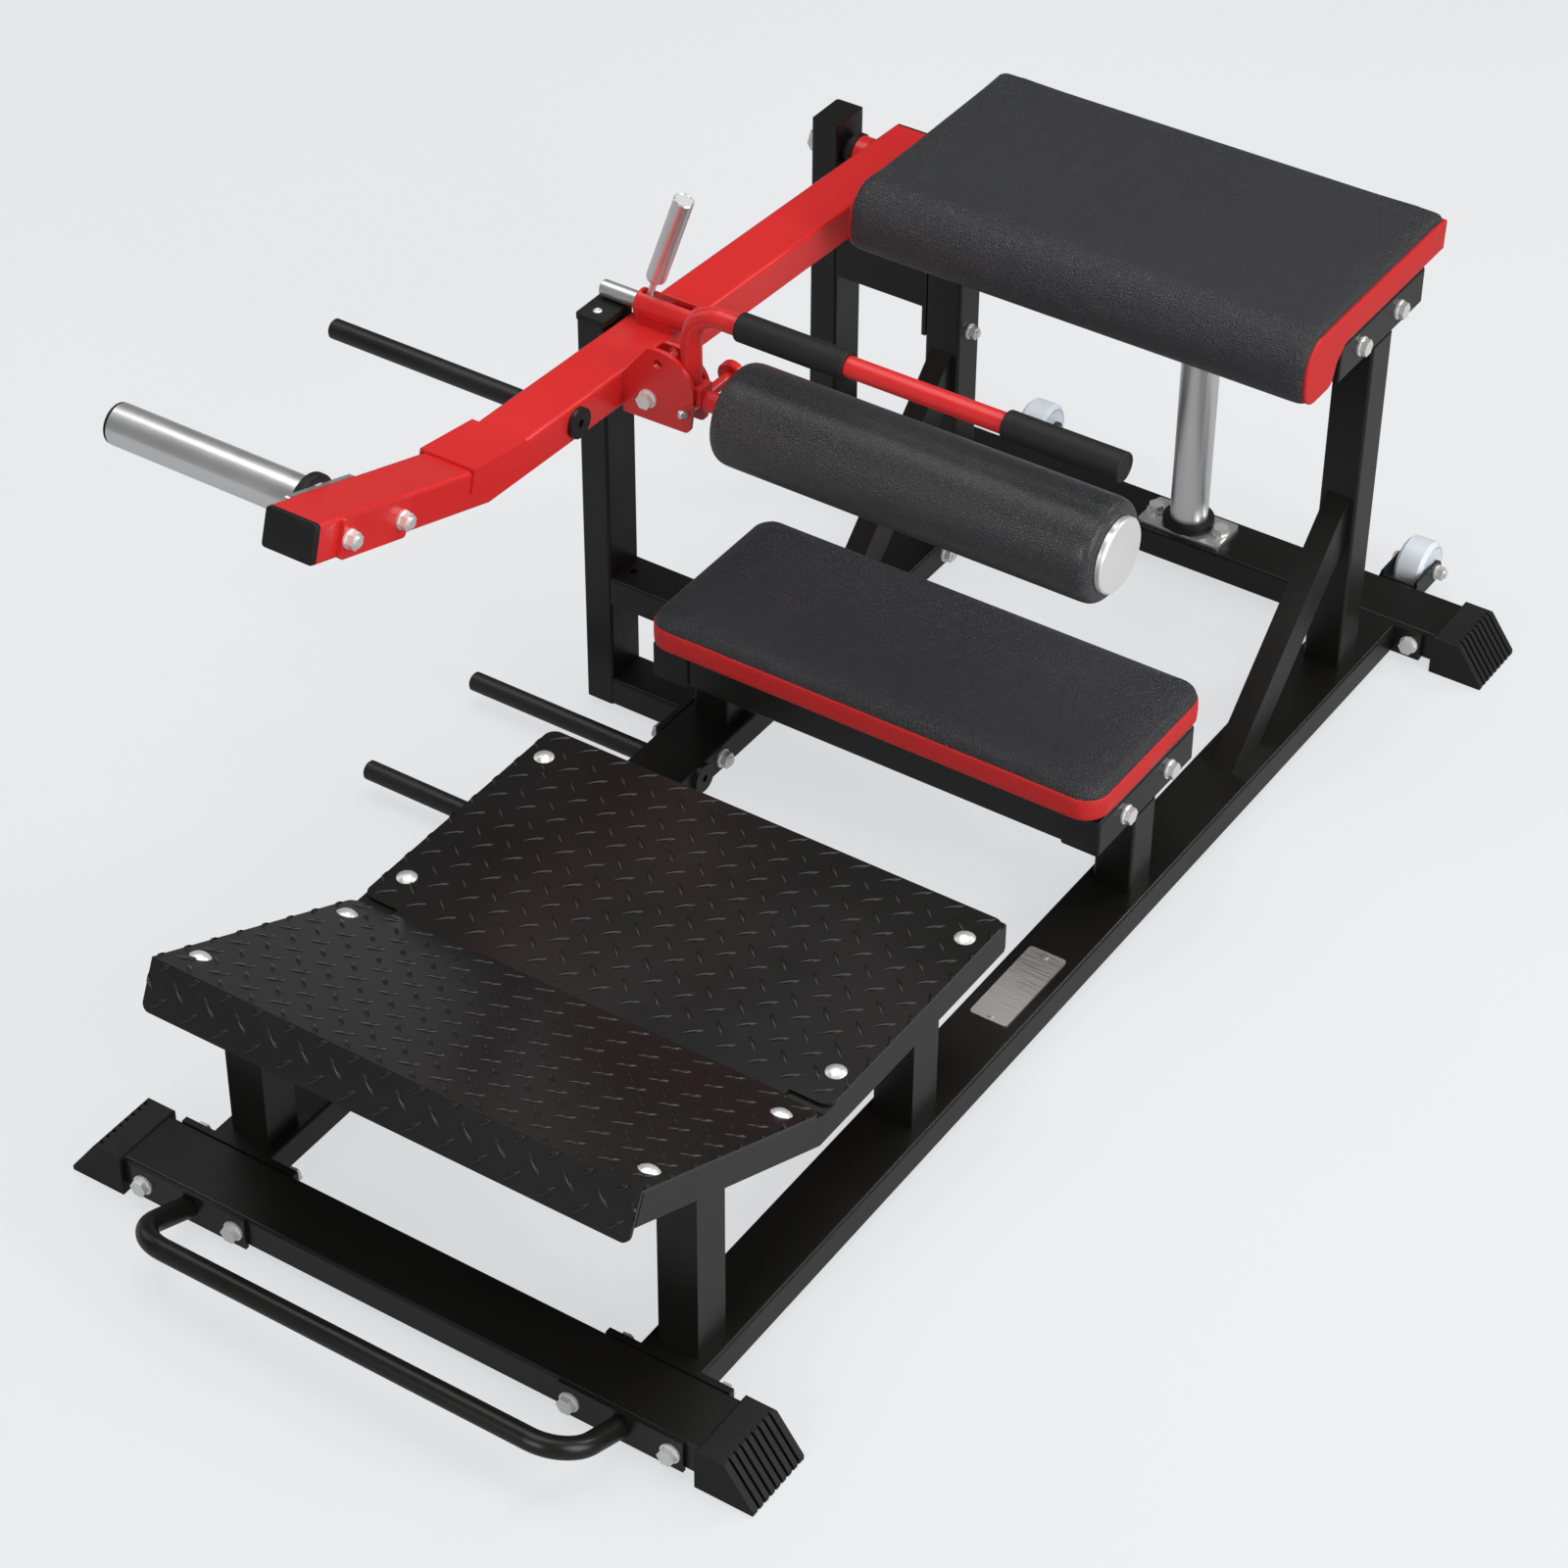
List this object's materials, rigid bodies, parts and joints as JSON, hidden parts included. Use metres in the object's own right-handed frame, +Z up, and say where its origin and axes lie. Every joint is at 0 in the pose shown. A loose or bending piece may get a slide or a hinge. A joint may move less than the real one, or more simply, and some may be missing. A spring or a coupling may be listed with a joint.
{
  "type": "hip thrust machine",
  "caption": "Floor-standing hip thrust machine with tread footplate, low seat, padded back bench, a hinged loading arm carrying a padded roller, and storage and band pegs.",
  "frame": {"origin": "on the floor at the middle of the machine's overall outline, loading horn included", "axes": "+X to the machine's right side (the loading arm is on the left, -X), +Y from the footplate end to the back bench and wheels, +Z up"},
  "size_m": [1.164, 1.9315, 0.7485],
  "materials": {
    "frame_paint": "satin black powder coat",
    "tread_paint": "black powder coat over raised tread",
    "arm_paint": "red semi-gloss powder coat",
    "chrome": "polished",
    "zinc": "bright zinc plating",
    "badge_metal": "brushed, plain",
    "black_rubber": "matte",
    "black_plastic": "fine texture",
    "peg_coat": "satin black",
    "backing_board": "black-stained plywood",
    "upholstery": "grained black with red side bands",
    "roller_cover": "grained black cover over foam",
    "grip_foam": "closed-cell foam",
    "wheel_nylon": "semi-gloss pale nylon",
    "lock_knob": "red knob on a bright steel pin"
  },
  "bodies": {
    "frame": {"front_crossmember": "frame_paint", "rear_crossmember": "frame_paint", "left_rail": "frame_paint", "right_rail": "frame_paint", "footplate_tube_left": "frame_paint", "footplate_tube_right": "frame_paint", "footplate_posts": "frame_paint", "seat_tubes": "frame_paint", "seat_beams": "frame_paint", "seat_posts": "frame_paint", "upright_left": "frame_paint", "upright_right": "frame_paint", "diagonal_braces": "frame_paint", "backrest_rails": "frame_paint", "rest_post": "frame_paint", "pivot_post": "frame_paint", "rest_outrigger": "frame_paint", "pivot_outrigger": "frame_paint", "rest_upper_tube": "frame_paint", "bridge_tube": "frame_paint", "wheel_forks": "frame_paint", "front_handle": "frame_paint", "footplate_rear_panel": "tread_paint", "footplate_front_panel": "tread_paint", "storage_horn": "chrome", "frame_bolts": "zinc", "footplate_bolts": "zinc", "pivot_bolt": "zinc", "name_plate": "badge_metal", "rubber_feet": "black_rubber", "storage_horn_rubber": "black_rubber", "rest_pad": "black_rubber", "pivot_spacers": "black_rubber", "tube_plugs": "black_plastic", "rail_band_pegs": "peg_coat", "seat_board": "backing_board", "backrest_board": "backing_board", "seat_cushion": "upholstery", "backrest_cushion": "upholstery"},
    "arm": {"arm_beam": "arm_paint", "arm_sleeve": "arm_paint", "arm_end_caps": "black_plastic", "horn": "chrome", "horn_ring": "black_rubber", "horn_cap": "black_rubber", "horn_backing_plate": "arm_paint", "arm_bolts": "zinc", "arm_band_peg": "peg_coat", "latch_housing": "arm_paint", "sector_plates": "arm_paint"},
    "latch": {"latch_pin": "chrome", "latch_lever": "chrome"},
    "roller_frame": {"roller_lever": "arm_paint", "handle_tube": "arm_paint", "handle_grips": "grip_foam"},
    "roller": {"roller_foam": "roller_cover", "roller_core": "zinc"},
    "lock_pin": {"lock_pin": "lock_knob"},
    "left_wheel": {"wheel_left": "wheel_nylon"},
    "right_wheel": {"wheel_right": "wheel_nylon"}
  },
  "joints": [
    {"name": "arm_lift", "type": "hinge", "parent": "frame", "child": "arm", "pos_m": [-0.261, 0.7128, 0.5184], "axis": [-1, 0, 0], "range_deg": [0, 45]},
    {"name": "latch_slide", "type": "slide", "parent": "arm", "child": "latch", "axis": [1, 0, 0], "range_m": [0, 0.055]},
    {"name": "roller_frame_lift", "type": "hinge", "parent": "arm", "child": "roller_frame", "pos_m": [-0.19, 0.0888, 0.548], "axis": [0, -1, 0], "range_deg": [0, 72]},
    {"name": "roller_spin", "type": "hinge", "parent": "roller_frame", "child": "roller", "pos_m": [0.165, 0.0923, 0.557], "axis": [1, 0, 0], "continuous": true},
    {"name": "lock_pin_pull", "type": "slide", "parent": "arm", "child": "lock_pin", "axis": [0, 1, 0], "range_m": [0, 0.06]},
    {"name": "left_wheel_spin", "type": "hinge", "parent": "frame", "child": "left_wheel", "pos_m": [-0.153, 0.9288, 0.041], "axis": [1, 0, 0], "continuous": true},
    {"name": "right_wheel_spin", "type": "hinge", "parent": "frame", "child": "right_wheel", "pos_m": [0.417, 0.9288, 0.041], "axis": [1, 0, 0], "continuous": true}
  ]
}
